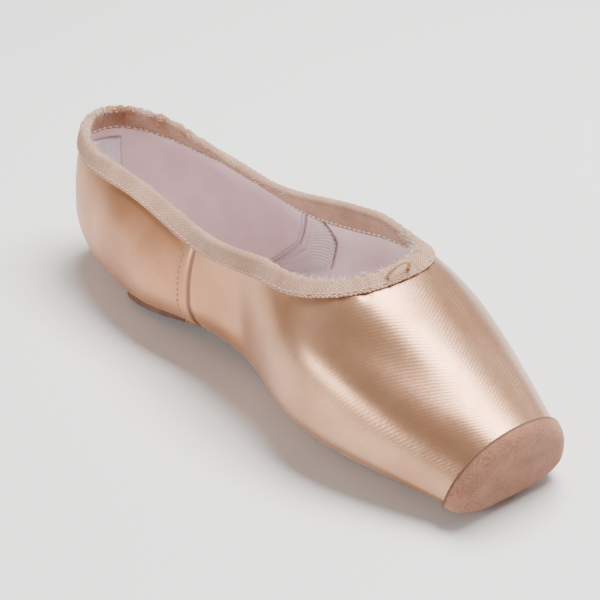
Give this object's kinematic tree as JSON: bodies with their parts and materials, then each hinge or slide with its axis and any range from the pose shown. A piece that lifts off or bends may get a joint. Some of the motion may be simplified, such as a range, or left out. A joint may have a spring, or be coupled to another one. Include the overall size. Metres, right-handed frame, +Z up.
{
  "type": "pointe shoe",
  "caption": "Peach satin pointe shoe with a cream tape collar, a drawstring loop, a suede toe patch and a narrow leather sole.",
  "frame": {"origin": "On the floor, under the middle of the shoe's bounding box. The sole rests on z = 0.", "axes": "+X points from the heel to the toe, +Y to the wearer's left, +Z up."},
  "size_m": [0.2384, 0.0792, 0.0662],
  "materials": {
    "satin": "glossy peach satin",
    "suede": "napped suede",
    "tape": "matt twill tape",
    "cord": "matt braided cord",
    "sole_leather": "smooth brown leather",
    "lining": "matt cotton"
  },
  "bodies": {
    "root": {"upper": "satin", "toe_patch": "suede", "binding": "tape", "drawstring": "cord", "outsole": "sole_leather", "insole": "lining"}
  },
  "joints": []
}
